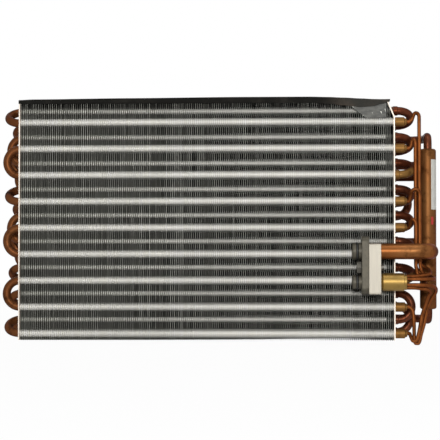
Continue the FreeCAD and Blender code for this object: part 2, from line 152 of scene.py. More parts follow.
FEED_ARRIVALS = {
    "F1": [(11.6, -3.4, 3.0), (11.5, -3.1, 5.4), (10.5, -2.4, 7.5), (8.8, -1.6, 8.4),
           (7.1, -0.9, 7.4), (6.1, -0.4, 5.0), (4.7, 0, 2.0)],
    "F2": [(8.0, -3.4, 4.0), (7.6, -2.9, 6.8), (5.8, -1.3, 8.2), (4.6, -0.3, 5.2), (3.8, 0, 1.8)],
    "F4": [(11.6, -7.0, 5.5), (10.6, -7.1, 9.3), (7.4, -7.2, 11.0), (4.4, -5.8, 9.4),
           (3.6, -2.6, 5.6)],
    "F5": [(8.0, -7.0, 2.0), (7.4, -7.0, 5.4), (5.2, -6.2, 7.4), (3.8, -3.4, 5.8)],
    "F8": [(15.4, -4.0, -16.7), (12.8, -3.1, -26.0), (11.5, -2.6, -32.0), (10.1, -2.1, -34.6),
           (8.0, -1.5, -34.6), (6.6, -0.9, -32.0), (6.4, -0.6, -24.0), (6.2, -0.2, -13.0),
           (5.2, 0, -4.0)],
    "F9": [(10.9, -7.0, 3.6), (9.2, -6.2, -4.0), (7.4, -5.6, -6.6), (4.8, -4.8, -6.6),
           (3.2, -2.4, -3.2)],
}

# How the photograph shows the inlet face: its scale, the pixel opposite the lens, the pixel that
# the lens aims at, the column of the core's middle and the row of its foot
MM_PER_PIXEL = 0.956
OPPOSITE_PIXEL = (291.35, 271.7)
AIM_PIXEL = (221.3, 219.25)
CORE_COLUMN = 207.2
FOOT_ROW = 339.6
IMAGE_SIDE = 440
SENSOR_MM = 36.0
CAMERA_DISTANCE = 1570 * MM
# How strongly the white surroundings light the core
SKY_LIGHT = 0.08


def mid(box):
    return (box[0] + box[1]) / 2


CORE_CENTRE_X = (LEFT_PLATE[0].x + RIGHT_PLATE[1].x) / 2
FRONT = CORE_LOW.y
FOOT = CORE_LOW.z
TOP = CORE_HIGH.z
LEFT_OUTER = LEFT_PLATE[0].x
LEFT_INNER = LEFT_PLATE[1].x
RIGHT_OUTER = RIGHT_PLATE[1].x
RIGHT_INNER = 2 * CORE_CENTRE_X - LEFT_INNER
STUB_START = RIGHT_OUTER + STUB_REVEAL
STUB_END = RIGHT_OUTER + BELL_LENGTH
PIPE_Y = mid(NOZZLE).y
PIPE_Z = mid(NOZZLE).z


def measure(name, description, millimetres):
    """A length that the user can change."""
    return FloatProperty(
        name=name, description=description, default=millimetres * MM, unit="LENGTH"
    )


def swatch(name, description, *channels):
    """A colour that the user can change."""
    return FloatVectorProperty(
        name=name, description=description, default=channels, subtype="COLOR", min=0, max=1
    )


class CoreSizes(bpy.types.PropertyGroup):
    """Sizes that change how the core is dressed."""

    fin_pitch: measure("Fin pitch", "Distance from one fin to the next", 2.0)
    fin_thickness: measure("Fin thickness", "Thickness of a plate fin", 0.3)
    fin_waver: measure("Fin waver", "How far a fin's front edge strays sideways", 0.44)
    fin_wave: measure("Fin wave", "Height of the fins' wave behind the second row", 1.8)
    collar_radius: measure("Collar radius", "Outer radius of the fin collars round a tube", 4.25)
    rim_radius: measure(
        "Rim radius", "Half the height of the flared rims before the front row", 3.45)
    rim_shift: measure("Rim shift", "How far the flared rims reach forward of the tubes", 5.0)
    ridge_radius: measure(
        "Ridge radius", "Half the height of the ridges behind the fins' edges", 2.3)
    tube_radius: measure("Tube radius", "Outer radius of the hairpins and return bends", 3.97)
    feed_radius: measure("Feed line radius", "Outer radius of a feed line", 1.8)
    pipe_radius: measure("Suction pipe radius", "Outer radius of the suction pipe", 7.5)
    tube_sides: IntProperty(
        name="Sides round a tube", description="Faces round a tube", default=24, min=8, max=64,
    )
    turned_sides: IntProperty(
        name="Sides round a turned piece", description="Faces round a turned piece",
        default=56, min=16, max=128,
    )


class CoreColours(bpy.types.PropertyGroup):
    """Colours of the core's finishes."""

    fin: swatch("Fins", "Bare aluminium of the fins", 0.27, 0.268, 0.24)
    collar: swatch("Collars", "Bright aluminium round the tubes", 0.74, 0.72, 0.67)
    copper: swatch(
        "Copper", "Dark browned copper of the bends at the pipe end", 0.10, 0.026, 0.011)
    hairpin: swatch("Hairpin copper", "Orange-brown copper of the hairpins", 0.125, 0.043, 0.015)
    pipe: swatch("Pipe copper", "Copper of the suction pipe and the header", 0.223, 0.077, 0.022)
    feed: swatch("Feed line copper", "Dull copper of the feed lines", 0.186, 0.057, 0.016)
    brass: swatch("Ferrule brass", "Brazed brass of the ferrules", 0.21, 0.11, 0.033)
    yellow_brass: swatch(
        "Distributor brass", "Turned brass of the distributor", 0.286, 0.178, 0.047)
    plate: swatch("End plates", "Pale metal of the end plates", 0.74, 0.66, 0.57)
    block: swatch("Connection block", "Pale cast metal of the block", 0.76, 0.70, 0.58)
    fitting: swatch(
        "Fittings", "Grey metal of the clamp plate and the nozzles", 0.082, 0.073, 0.052)
    foam: swatch("Foam", "Black foam tape", 0.012, 0.0115, 0.01)
    label: swatch("Label", "Bare white label", 0.80, 0.79, 0.73)


class Value:
    """A socket that adds Math nodes when it is used in an expression."""

    def __init__(self, nodes, socket):
        self.nodes = nodes
        self.socket = socket

    def __add__(self, other):
        return self.nodes.math("ADD", self, other)

    def __radd__(self, other):
        return self.nodes.math("ADD", other, self)

    def __sub__(self, other):
        return self.nodes.math("SUBTRACT", self, other)

    def __rsub__(self, other):
        return self.nodes.math("SUBTRACT", other, self)

    def __mul__(self, other):
        return self.nodes.math("MULTIPLY", self, other)

    def __rmul__(self, other):
        return self.nodes.math("MULTIPLY", other, self)

    def __truediv__(self, other):
        return self.nodes.math("DIVIDE", self, other)

    def __rtruediv__(self, other):
        return self.nodes.math("DIVIDE", other, self)


class Made:
    """A node and its outputs."""

    def __init__(self, nodes, node):
        self.nodes = nodes
        self.node = node

    def out(self, key):
        return Value(self.nodes, self.node.outputs[key])


class Nodes:
    """Adds nodes to one tree."""

    def __init__(self, tree):
        self.tree = tree

    def node(self, kind, settings=None, inputs=None):
        """Adds a node: its settings first, then the values or links of its sockets."""
        made = self.tree.nodes.new(kind)
        for key, value in (settings or {}).items():
            setattr(made, key, value)
        for key, value in (inputs or {}).items():
            if isinstance(value, Value):
                self.tree.links.new(value.socket, made.inputs[key])
            else:
                made.inputs[key].default_value = value
        return Made(self, made)

    def math(self, operation, *values):
        return self.node(
            "ShaderNodeMath", {"operation": operation}, dict(enumerate(values))
        ).out(0)

    def parts(self, vector):
        """The three coordinates of a vector."""
        split = self.node("ShaderNodeSeparateXYZ", {}, {0: vector})
        return [split.out(axis) for axis in range(3)]

    def vector(self, *parts):
        return self.node("ShaderNodeCombineXYZ", {}, dict(enumerate(parts))).out(0)


class Shader(Nodes):
    """The nodes of one material, or of the world when its tree is given."""

    def __init__(self, name, tree=None):
        if tree is None:
            self.material = bpy.data.materials.new(name)
            self.material.use_nodes = True
            tree = self.material.node_tree
        tree.nodes.clear()
        super().__init__(tree)
        self.place = self.node("ShaderNodeTexCoord").out("Object")

    def stretched(self, scale):
        """The object's own coordinates, scaled differently along each axis."""
        return self.node(
            "ShaderNodeMapping", {}, {"Vector": self.place, "Scale": scale}
        ).out(0)

    def noise(self, scale, detail=3.0, roughness=0.5, vector=None):
        return self.node(
            "ShaderNodeTexNoise", {},
            {"Vector": vector or self.place, "Scale": scale, "Detail": detail,
             "Roughness": roughness},
        ).out(0)

    def between(self, value, low, high):
        """0 below low and 1 above high, with a soft edge."""
        return self.node(
            "ShaderNodeMapRange", {"interpolation_type": "SMOOTHSTEP"},
            {"Value": value, "From Min": low, "From Max": high},
        ).out(0)

    def mixed(self, factor, first, second):
        pair = {
            key: value if isinstance(value, Value) else rgba(value)
            for key, value in ((6, first), (7, second))
        }
        return self.node("ShaderNodeMix", {"data_type": "RGBA"}, {0: factor, **pair}).out(2)

    def shaded(self, tone, mask, low, high, first, second):
        """A tone times first where the mask is below low, and times second above high."""
        return self.mixed(self.between(mask, low, high), rgba(tone, first), rgba(tone, second))

    def bump(self, height, strength, distance):
        return self.node(
            "ShaderNodeBump", {},
            {"Height": height, "Strength": strength, "Distance": distance},
        ).out(0)

    def finish(self, **sockets):
        """Joins the Principled shader to the output and returns the material."""
        names = {
            key.replace("_", " ").title().replace("Ior", "IOR"): value
            for key, value in sockets.items()
        }
        principled = self.node("ShaderNodeBsdfPrincipled", {}, names)
        self.node("ShaderNodeOutputMaterial", {}, {"Surface": principled.out(0)})
        return self.material


def seen_rays(shader):
    """1 for what the camera sees itself, or in a metal or through glass, and 0 for the rest."""
    path = shader.node("ShaderNodeLightPath")
    seen = path.out("Is Camera Ray") + path.out("Is Glossy Ray") + path.out("Is Transmission Ray")
    return shader.node("ShaderNodeClamp", {}, {0: seen}).out(0)


def rgba(colour, factor=1.0):
    return tuple(min(1.0, channel * factor) for channel in tuple(colour)[:3]) + (1.0,)


def colours():
    return bpy.context.scene.evaporator_colours


def sizes():
    return bpy.context.scene.evaporator_sizes


def fin_layout():
    """Number of fins and the place of the first, spread evenly between the end plates."""
    pitch = sizes().fin_pitch
    count = int((RIGHT_INNER - LEFT_INNER) / pitch + 1e-6)
    return count, (LEFT_INNER + RIGHT_INNER) / 2 - (count - 1) * pitch / 2


def fin_material(name):
    """Dull aluminium, each fin's front edge its own tone, with painted light and shade: pale front
    edges, dark painted shade on the sides, and pale painted bands at the ridges and tubes, a
    painted reflection of the bright collars behind.
    """
    s = Shader(name)
    tone = colours().fin
    grain = s.noise(260.0, 3.0, 0.6)
    patches = s.noise(22.0, 2.0, 0.5)
    along, inward, height = s.parts(s.place)
    inward = inward - FRONT
    number = s.math("ROUND", (along - fin_layout()[1]) * (1 / sizes().fin_pitch))
    own = s.node("ShaderNodeTexWhiteNoise", {"noise_dimensions": "1D"}, {"W": number}).out(0)

    def each_fin(darkest, palest):
        return s.mixed(own, rgba(tone, darkest), rgba(tone, palest))

    # Painted light and shade that change across the face: the front edges' tones plainer towards
    # the left end, and the fins' sides painted dark towards the right, a painted shade of the deep
    # gaps between the fins there
    left_end = s.between(along, LEFT_INNER - 20 * MM, CORE_CENTRE_X)
    shade_rightward = s.between(along, CORE_CENTRE_X - 110 * MM, CORE_CENTRE_X + 50 * MM)
    # Painted shade under the foam tape: the fins darker in a strip along the top
    tape_shade = s.between(height, TOP - 8 * MM, TOP - 3 * MM)
    edge = s.mixed(shade_rightward, each_fin(0.7, 2.4), each_fin(1.15, 2.1))
    edge = s.mixed(left_end, rgba(tone, 1.05), edge)
    edge = s.mixed(tape_shade, edge, each_fin(0.3, 2.0))
    base = s.mixed(shade_rightward, s.shaded(tone, patches, 0.3, 0.7, 0.85, 1.15), rgba(tone, 0.1))
    base = s.mixed(tape_shade, base, rgba(tone, 0.2))
    # The front edges take the pale edge tones and the sides behind them the dark ones: painted
    # light on the edges and painted shade between the fins
    base = s.mixed(s.between(inward, 0.2 * MM, 0.6 * MM), edge, base)
    # Pale painted bands on the fins at the heights of the ridges and of the front row: a painted
    # reflection of the bright collars behind
    for foot, pitch, near, far, gain in (
        (RIDGE_FOOT, RIDGE_PITCH, 0.6 * MM, 3.0 * MM, 2.45),
        (FOOT_MARGIN, TUBE_PITCH, 2.0 * MM, 3.6 * MM, 3.7),
    ):
        away = s.math("PINGPONG", height - (FOOT + foot), pitch / 2)
        base = s.mixed(s.between(away, near, far), each_fin(0.92 * gain, 1.15 * gain), base)
    return s.finish(
        base_color=base, metallic=0.0, roughness=grain * 0.2 + 0.6, specular_ior_level=0.0,
    )


def collar_material(name):
    s = Shader(name)
    streaks = s.noise(180.0, 3.0, 0.6, s.stretched((0.1, 1.0, 1.0)))
    base = s.shaded(colours().collar, s.noise(14.0, 2.0, 0.5), 0.3, 0.7, 0.90, 1.05)
    return s.finish(base_color=base, metallic=0.25, roughness=streaks * 0.15 + 0.5)


def plate_material(name):
    s = Shader(name)
    scratches = s.noise(320.0, 2.0, 0.6, s.stretched((1.0, 1.0, 0.08)))
    base = s.shaded(colours().plate, s.noise(60.0, 4.0, 0.6), 0.35, 0.7, 0.92, 1.08)
    return s.finish(
        base_color=base, metallic=0.45, roughness=scratches * 0.25 + 0.38,
        normal=s.bump(scratches, 0.15, 0.0002),
    )


def browned(name, tone, dark, roughness, heat=(1.35, 1.7, 2.0), front=None):
    """Copper or brass browned by heat, with darker stains and, if given, its own tone in front."""
    s = Shader(name)
    stains = s.noise(70.0, 5.0, 0.62)
    clouds = s.noise(18.0, 2.0, 0.5)
    hot_tone = [channel * gain for channel, gain in zip(tone, heat)]
    heated = s.mixed(s.between(clouds, 0.35, 0.68), rgba(tone), rgba(hot_tone))
    base = s.mixed(s.between(stains, 0.5, 0.72), heated, rgba(tone, dark))
    if front:
        inward = s.parts(s.place)[1] - (FRONT + FACE_MARGIN)
        base = s.mixed(s.between(inward, 1 * MM, 8 * MM), rgba(front), base)
    dents = s.noise(150.0, 3.0, 0.5)
    return s.finish(
        base_color=base, metallic=0.65, roughness=stains * 0.28 + roughness,
        specular_ior_level=0.2, specular_tint=rgba(hot_tone), normal=s.bump(dents, 0.12, 0.0004),
    )


def copper_material(name):
    return browned(name, colours().copper, 0.35, 0.26, front=colours().brass)


def hairpin_material(name):
    return browned(name, colours().hairpin, 0.3, 0.32, (1.2, 1.3, 1.3))


def pipe_material(name):
    return browned(name, colours().pipe, 0.4, 0.24)


def header_material(name):
    return browned(name, rgba(colours().pipe, 0.68)[:3], 0.4, 0.36)


def feed_material(name):
    return browned(name, colours().feed, 0.4, 0.34, (1.2, 1.25, 1.2))


def brass_material(name):
    return browned(name, colours().brass, 0.45, 0.38, (1.1, 1.05, 1.0))


def distributor_material(name):
    s = Shader(name)
    lathe = s.noise(900.0, 2.0, 0.5, s.stretched((1.0, 0.02, 0.02)))
    base = s.shaded(colours().yellow_brass, s.noise(90.0, 4.0, 0.6), 0.45, 0.75, 1.0, 0.55)
    return s.finish(
        base_color=base, metallic=0.8, roughness=lathe * 0.15 + 0.34,
        normal=s.bump(lathe, 0.2, 0.0001),
    )


def block_material(name):
    s = Shader(name)
    saw = s.noise(420.0, 3.0, 0.6, s.stretched((1.0, 1.0, 0.06)))
    base = s.shaded(colours().block, saw, 0.35, 0.7, 0.94, 1.05)
    return s.finish(
        base_color=base, metallic=0.1, roughness=saw * 0.15 + 0.5, normal=s.bump(saw, 0.2, 0.0002),
    )


def fitting_material(name):
    s = Shader(name)
    marks = s.noise(240.0, 4.0, 0.6)
    base = s.shaded(colours().fitting, marks, 0.35, 0.7, 0.8, 1.25)
    return s.finish(base_color=base, metallic=0.5, roughness=marks * 0.2 + 0.42)


def bolt_material(name):
    s = Shader(name)
    wear = s.noise(300.0, 3.0, 0.6)
    base = s.mixed(wear, (0.08, 0.076, 0.062), (0.15, 0.14, 0.12))
    return s.finish(base_color=base, metallic=0.85, roughness=wear * 0.2 + 0.3)


def rubber_material(name):
    s = Shader(name)
    dust = s.noise(400.0, 3.0, 0.6)
    base = s.mixed(dust, (0.006, 0.006, 0.006), (0.02, 0.02, 0.019))
    return s.finish(base_color=base, metallic=0.0, roughness=dust * 0.2 + 0.35)


def foam_material(name):
    """Black foam, dusty all over, and paler and browner where it sags."""
    s = Shader(name)
    tone = colours().foam
    cells = s.node("ShaderNodeTexVoronoi", {}, {"Vector": s.place, "Scale": 900.0}).out(0)
    dust = s.noise(36.0, 4.0, 0.6)
    sagging = s.between(s.parts(s.place)[0], SEAL[1].x - 60 * MM, SEAL[1].x - 35 * MM)
    clean = s.mixed(sagging, rgba(tone), rgba(tone, 4.0))
    dusty = s.mixed(sagging, (0.035, 0.032, 0.027), (0.12, 0.09, 0.068))
    base = s.mixed(s.between(dust, 0.45, 0.75), clean, dusty)
    return s.finish(
        base_color=base, metallic=0.0, roughness=dust * 0.1 + 0.82, specular_ior_level=0.1,
        normal=s.bump(cells, 0.5, 0.0004),
    )


def crushed_material(name):
    """Fins pressed flat: grey aluminium, creased and darker where the creases sink as painted
    shade, with a few painted glints.
    """
    s = Shader(name)
    tone = colours().fin
    creases = s.noise(240.0, 4.0, 0.6, s.stretched((0.5, 1.0, 1.6)))
    painted_glints = s.noise(330.0, 1.0, 0.4)
    # Painted shade: darker where the creases sink
    base = s.shaded(tone, creases, 0.35, 0.65, 0.22, 0.48)
    # Painted glints: a few spots far brighter than the aluminium
    base = s.mixed(s.between(painted_glints, 0.66, 0.74), base, rgba(tone, 2.8))
    return s.finish(
        base_color=base, metallic=0.2, roughness=creases * 0.2 + 0.45,
        normal=s.bump(creases, 0.6, 0.0008),
    )


def label_material(name):
    s = Shader(name)
    smudges = s.noise(120.0, 4.0, 0.6)
    base = s.shaded(colours().label, smudges, 0.55, 0.8, 1.0, 0.86)
    return s.finish(base_color=base, metallic=0.0, roughness=smudges * 0.1 + 0.4)


def paint_dot_material(name):
    s = Shader(name)
    grain = s.noise(500.0, 3.0, 0.6)
    base = s.mixed(grain, (0.50, 0.02, 0.02), (0.66, 0.05, 0.04))
    return s.finish(base_color=base, metallic=0.0, roughness=0.4)


MATERIALS = {
    "fin_aluminium": fin_material,
    "collar_aluminium": collar_material,
    "end_plate_metal": plate_material,
    "tube_copper": copper_material,
    "hairpin_copper": hairpin_material,
    "pipe_copper": pipe_material,
    "header_copper": header_material,
    "feed_copper": feed_material,
    "brass": brass_material,
    "distributor_brass": distributor_material,
    "block_metal": block_material,
    "fitting_aluminium": fitting_material,
    "bolt_steel": bolt_material,
    "ring_rubber": rubber_material,
    "seal_foam": foam_material,
    "crushed_fins": crushed_material,
    "label_white": label_material,
    "paint_dot": paint_dot_material,
}


def material(name):
    """A finish by name, made the first time that it is asked for."""
    full_name = "finish_" + name
    return bpy.data.materials.get(full_name) or MATERIALS[name](full_name)


class Tree(Nodes):
    """One Geometry Nodes tree with named inputs."""

    def __init__(self, name):
        super().__init__(bpy.data.node_groups.new(name, "GeometryNodeTree"))
        for way in ("INPUT", "OUTPUT"):
            self.tree.interface.new_socket(
                "Geometry", in_out=way, socket_type="NodeSocketGeometry"
            )
        self.inlet = self.node("NodeGroupInput")
        self.outlet = self.node("NodeGroupOutput")

    def ask(self, name, kind="Float"):
        """A named input of the tree."""
        self.tree.interface.new_socket(name, in_out="INPUT", socket_type="NodeSocket" + kind)
        return self.inlet.out(name)

    def moved(self, geometry, place):
        return self.node(
            "GeometryNodeSetPosition", {}, {"Geometry": geometry, "Position": place}
        ).out(0)

    def copied(self, points, piece, turn=(0.0, 0.0, 0.0)):
        return self.node(
            "GeometryNodeInstanceOnPoints", {},
            {"Points": points, "Instance": piece, "Rotation": turn},
        ).out(0)

    def real(self, geometry):
        return self.node("GeometryNodeRealizeInstances", {}, {0: geometry}).out(0)

    def close(self, geometry, surface):
        """Ends the tree in Realize Instances and Set Material."""
        painted = self.node(
            "GeometryNodeSetMaterial", {}, {"Geometry": self.real(geometry), "Material": surface}
        )
        self.tree.links.new(painted.node.outputs[0], self.outlet.node.inputs[0])
        return self.tree


def tube_tree(name):
    """Round tube along a curve, its ends closed. Soft routes are smoothed first."""
    t = Tree(name)
    curve = t.inlet.out(0)
    radius, sides, surface = t.ask("Radius"), t.ask("Sides", "Int"), t.ask("Surface", "Material")
    ring = t.node("GeometryNodeCurvePrimitiveCircle", {}, {"Resolution": sides, "Radius": radius})
    if name == "soft_tube":
        curve = t.node(
            "GeometryNodeCurveSplineType", {"spline_type": "CATMULL_ROM"}, {"Curve": curve}
        ).out(0)
        curve = t.node(
            "GeometryNodeSetSplineResolution", {}, {"Geometry": curve, "Resolution": 7}
        ).out(0)
    swept = t.node(
        "GeometryNodeCurveToMesh", {},
        {"Curve": curve, "Profile Curve": ring.out(0), "Fill Caps": True},
    )
    return t.close(swept.out(0), surface)


def fin_tree(name):
    """Plate fins in a row, wavering in front, waved behind and trimmed under the bent corner."""
    t = Tree(name)
    count, pitch = t.ask("Count", "Int"), t.ask("Pitch")
    plate, start = t.ask("Plate size", "Vector"), t.ask("Start", "Vector")
    waver, wave, wave_start = t.ask("Waver"), t.ask("Wave"), t.ask("Wave start")
    lean_start, lean_slope = t.ask("Lean start"), t.ask("Lean slope")
    surface = t.ask("Surface", "Material")
    line = t.node(
        "GeometryNodeMeshLine", {},
        {"Count": count, "Start Location": start, "Offset": t.vector(pitch, 0.0, 0.0)},
    )
    fin = t.node(
        "GeometryNodeMeshCube", {},
        {"Size": plate, "Vertices X": 2, "Vertices Y": 7, "Vertices Z": 9},
    )
    fins = t.real(t.copied(line.out(0), fin.out(0)))
    place = t.node("GeometryNodeInputPosition").out(0)
    x, y, z = t.parts(place)
    first_x, middle_y, middle_z = t.parts(start)
    depth, height = t.parts(plate)[1:]
    inward = (y - (middle_y - depth * 0.5)) / depth
    edge = 1.0 - t.math("MINIMUM", inward * 3.0, 1.0)
    coarse = t.node(
        "ShaderNodeVectorMath", {"operation": "MULTIPLY"}, {0: place, 1: (500.0, 0.0, 20.0)}
    )
    stray = t.node("ShaderNodeTexNoise", {}, {"Vector": coarse.out(0), "Scale": 1.0}).out(0)
    sway = (stray - 0.5) * 4.0 * waver * edge
    rear = t.math("MAXIMUM", inward - wave_start, 0.0)
    waved = t.math("SINE", rear * (2 * math.pi) / (1.0 - wave_start)) * wave
    last_x = first_x + (count - 1.0) * pitch
    kept = t.math("MINIMUM", t.math("MAXIMUM", x + (sway + waved), first_x), last_x)
    bent = t.moved(fins, t.vector(kept, y, z))
    past = t.math("MAXIMUM", x - lean_start, 0.0)
    roof = middle_z + height * 0.5 - past * lean_slope
    trimmed = t.moved(bent, t.vector(x, y, t.math("MINIMUM", z, roof)))
    return t.close(trimmed, surface)


def disc_tree(name):
    """A cone frustum along X on each point: a long one is a collar, a short one a flange."""
    t = Tree(name)
    near, far, length = t.ask("Near radius"), t.ask("Far radius"), t.ask("Length")
    sides, surface = t.ask("Sides", "Int"), t.ask("Surface", "Material")
    cone = t.node(
        "GeometryNodeMeshCone", {},
        {"Vertices": sides, "Radius Bottom": near, "Radius Top": far, "Depth": length},
    )
    placed = t.copied(t.inlet.out(0), cone.out(0), (0.0, math.pi / 2, 0.0))
    return t.close(placed, surface)


TREES = {
    "stiff_tube": tube_tree,
    "soft_tube": tube_tree,
    "plate_fins": fin_tree,
    "tube_discs": disc_tree,
}


def put(name, data):
    obj = bpy.data.objects.new(name, data)
    bpy.context.scene.collection.objects.link(obj)
    return obj


def grown(name, data, tree_name, values, smooth=True):
    """Runs a Geometry Nodes tree on some data and keeps its result as a plain mesh."""
    carrier = put(name + "_carrier", data)
    modifier = carrier.modifiers.new("grow", "NODES")
    modifier.node_group = bpy.data.node_groups.get(tree_name) or TREES[tree_name](tree_name)
    for item in modifier.node_group.interface.items_tree:
        if item.in_out == "INPUT" and item.name in values:
            modifier[item.identifier] = values[item.name]
    bpy.context.view_layer.update()
    graph = bpy.context.evaluated_depsgraph_get()
    mesh = bpy.data.meshes.new_from_object(carrier.evaluated_get(graph))
    mesh.name = name
    carrier.modifiers.remove(modifier)
    bpy.data.objects.remove(carrier)
    for polygon in mesh.polygons:
        polygon.use_smooth = smooth
    return put(name, mesh)


def sharpened(obj, degrees=TURNED_CREASE):
    """Keeps a smooth piece's real corners crisp."""
    mesh = obj.data
    shape = bmesh.new()
    shape.from_mesh(mesh)
    for edge in shape.edges:
        edge.smooth = len(edge.link_faces) == 2 and edge.calc_face_angle(0) < math.radians(degrees)
    shape.to_mesh(mesh)
    shape.free()
    return obj


def settle(obj, slot, *nodes):
    """Ties a finished piece to the object's one body and hides the nodes that it stands for."""
    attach(obj, "root")
    if nodes:
        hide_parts(*nodes)


def joined(name, objects):
    """One mesh from several, with each one's materials kept."""
    shape = bmesh.new()
    surfaces = []
    for obj in objects:
        start = len(shape.faces)
        shape.from_mesh(obj.data)
        shape.faces.ensure_lookup_table()
        for face in shape.faces[start:]:
            own = obj.data.materials[face.material_index]
            if own not in surfaces:
                surfaces.append(own)
            face.material_index = surfaces.index(own)
    mesh = bpy.data.meshes.new(name)
    shape.to_mesh(mesh)
    shape.free()
    for surface in surfaces:
        mesh.materials.append(surface)
    for obj in objects:
        bpy.data.objects.remove(obj)
    return put(name, mesh)


def curve_data(name, points):
    data = bpy.data.curves.new(name, "CURVE")
    data.dimensions = "3D"
    spline = data.splines.new("POLY")
    spline.points.add(len(points) - 1)
    for point, place in zip(spline.points, points):
        point.co = (place.x, place.y, place.z, 1.0)
    return data


def tube(name, points, radius, surface, soft=False, sides=None):
    kind = "soft_tube" if soft else "stiff_tube"
    values = {"Radius": radius, "Sides": sides or sizes().tube_sides, "Surface": surface}
    return sharpened(grown(name, curve_data(name, points), kind, values))


def discs(name, places, near, far, length, surface, slot):
    """Makes one piece of like frustums along X, one from each place."""
    seed = bpy.data.meshes.new(name + "_seed")
    seed.from_pydata([tuple(place) for place in places], [], [])
    piece = grown(name, seed, "tube_discs", {
        "Near radius": near, "Far radius": far, "Length": length,
        "Sides": sizes().tube_sides, "Surface": material(surface),
    })
    settle(sharpened(piece), slot)


def skinned(name, shape, surface, smooth=True):
    """Turns a closed shape into a piece, its faces pointing outwards."""
    bmesh.ops.recalc_face_normals(shape, faces=shape.faces)
    mesh = bpy.data.meshes.new(name)
    shape.to_mesh(mesh)
    shape.free()
    mesh.materials.append(surface)
    for polygon in mesh.polygons:
        polygon.use_smooth = smooth
    return put(name, mesh)


def lofted(name, rows, surface, degrees=SHEET_CREASE):
    """Closed skin through rows of the same number of points, with flat ends."""
    shape = bmesh.new()
    rings = [[shape.verts.new(point) for point in row] for row in rows]
    for low, high in zip(rings, rings[1:]):
        for j in range(len(low)):
            k = (j + 1) % len(low)
            shape.faces.new((low[j], low[k], high[k], high[j]))
    shape.faces.new(rings[0][::-1])
    shape.faces.new(rings[-1])
    return sharpened(skinned(name, shape, surface), degrees)


def turned(name, profile, centre, surface, sides=None):
    """Solid turned about an axis along X through centre, from (x, radius) steps in metres."""
    count = sides or sizes().turned_sides
    angles = [2 * math.pi * j / count for j in range(count)]
    rows = [
        [
            (x, centre.y + radius * math.cos(angle), centre.z + radius * math.sin(angle))
            for angle in angles
        ]
        for x, radius in profile
    ]
    return lofted(name, rows, surface, TURNED_CREASE)


def refined(node, surface, width):
    """Copy of a CAD node with its corners broken."""
    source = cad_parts[node]
    mesh = source.data.copy()
    mesh.name = node + "_dressed"
    shape = bmesh.new()
    shape.from_mesh(mesh)
    bmesh.ops.remove_doubles(shape, verts=shape.verts, dist=1e-6)
    bmesh.ops.dissolve_limit(
        shape, angle_limit=math.radians(0.5), verts=shape.verts, edges=shape.edges
    )
    shape.to_mesh(mesh)
    shape.free()
    mesh.materials.clear()
    mesh.materials.append(surface)
    obj = put(node + "_dressed", mesh)
    bevel = obj.modifiers.new("bevel", "BEVEL")
    bevel.width = width
    bevel.segments = 2
    bevel.limit_method = "ANGLE"
    bevel.angle_limit = math.radians(BEVEL_ABOVE)
    graph = bpy.context.evaluated_depsgraph_get()
    finished = bpy.data.meshes.new_from_object(obj.evaluated_get(graph))
    obj.modifiers.clear()
    obj.data = finished
    return obj


def tube_place(name):
    row = ROW_LETTERS.index(name[0])
    level = int(name[1:])
    height = FOOT + FOOT_MARGIN + (LEVELS - level) * TUBE_PITCH + (row % 2) * TUBE_PITCH / 2
    return FRONT + FACE_MARGIN + row * ROW_PITCH, height


def tube_point(x, name):
    depth, height = tube_place(name)
    return Vector((x, depth, height))


def bores(x):
    """The places of all the tubes at a distance along the core."""
    return [tube_point(x, name) for passes in CIRCUITS for name in passes]


def half_turn(first, second, outward, steps=22):
    """Half a circle from one place to another, bulging outward."""
    centre = (first + second) / 2
    radius = (second - first).length / 2
    spoke = (first - second).normalized()
    return [
        centre + spoke * (radius * math.cos(math.pi * i / steps))
        + outward * (radius * math.sin(math.pi * i / steps))
        for i in range(steps + 1)
    ]


def quarter_turn(corner, arriving, leaving, radius, steps=12):
    """Quarter of a circle that rounds a corner between two headings."""
    start = corner - arriving * radius
    return [
        start + arriving * (radius * math.sin(math.pi / 2 * i / steps))
        + leaving * (radius * (1 - math.cos(math.pi / 2 * i / steps)))
        for i in range(steps + 1)
    ]


def steadied(points, room=4.0 * MM):
    """Divides each long run evenly, so that a smoothed route stays straight along it."""
    route = [points[0]]
    for first, second in zip(points, points[1:]):
        run = (second - first).length
        parts = round(run / room) if run > 3 * room else 1
        route += [first.lerp(second, i / parts) for i in range(1, parts + 1)]
    return route


def hairpin_route(first, second):
    bend_x = LEFT_OUTER - HAIRPIN_TANGENT
    turn = half_turn(tube_point(bend_x, first), tube_point(bend_x, second), -X_AXIS)
    return [tube_point(STUB_START, first)] + turn + [tube_point(STUB_START, second)]


def bell(name, end, surface):
    """Belled tube end outside the right plate, with a braze fillet at its lip."""
    start = end.x - BELL_LENGTH + STUB_REVEAL
    return turned(name, [
        (start, BELL_RADIUS - BELL_LIP),
        (start + BELL_LIP, BELL_RADIUS),
        (end.x - 2 * BELL_LIP, BELL_RADIUS),
        (end.x, sizes().tube_radius),
    ], end, surface, BELL_SIDES)


class CorePiece:
    """What the operators share."""

    bl_options = {"REGISTER", "UNDO"}


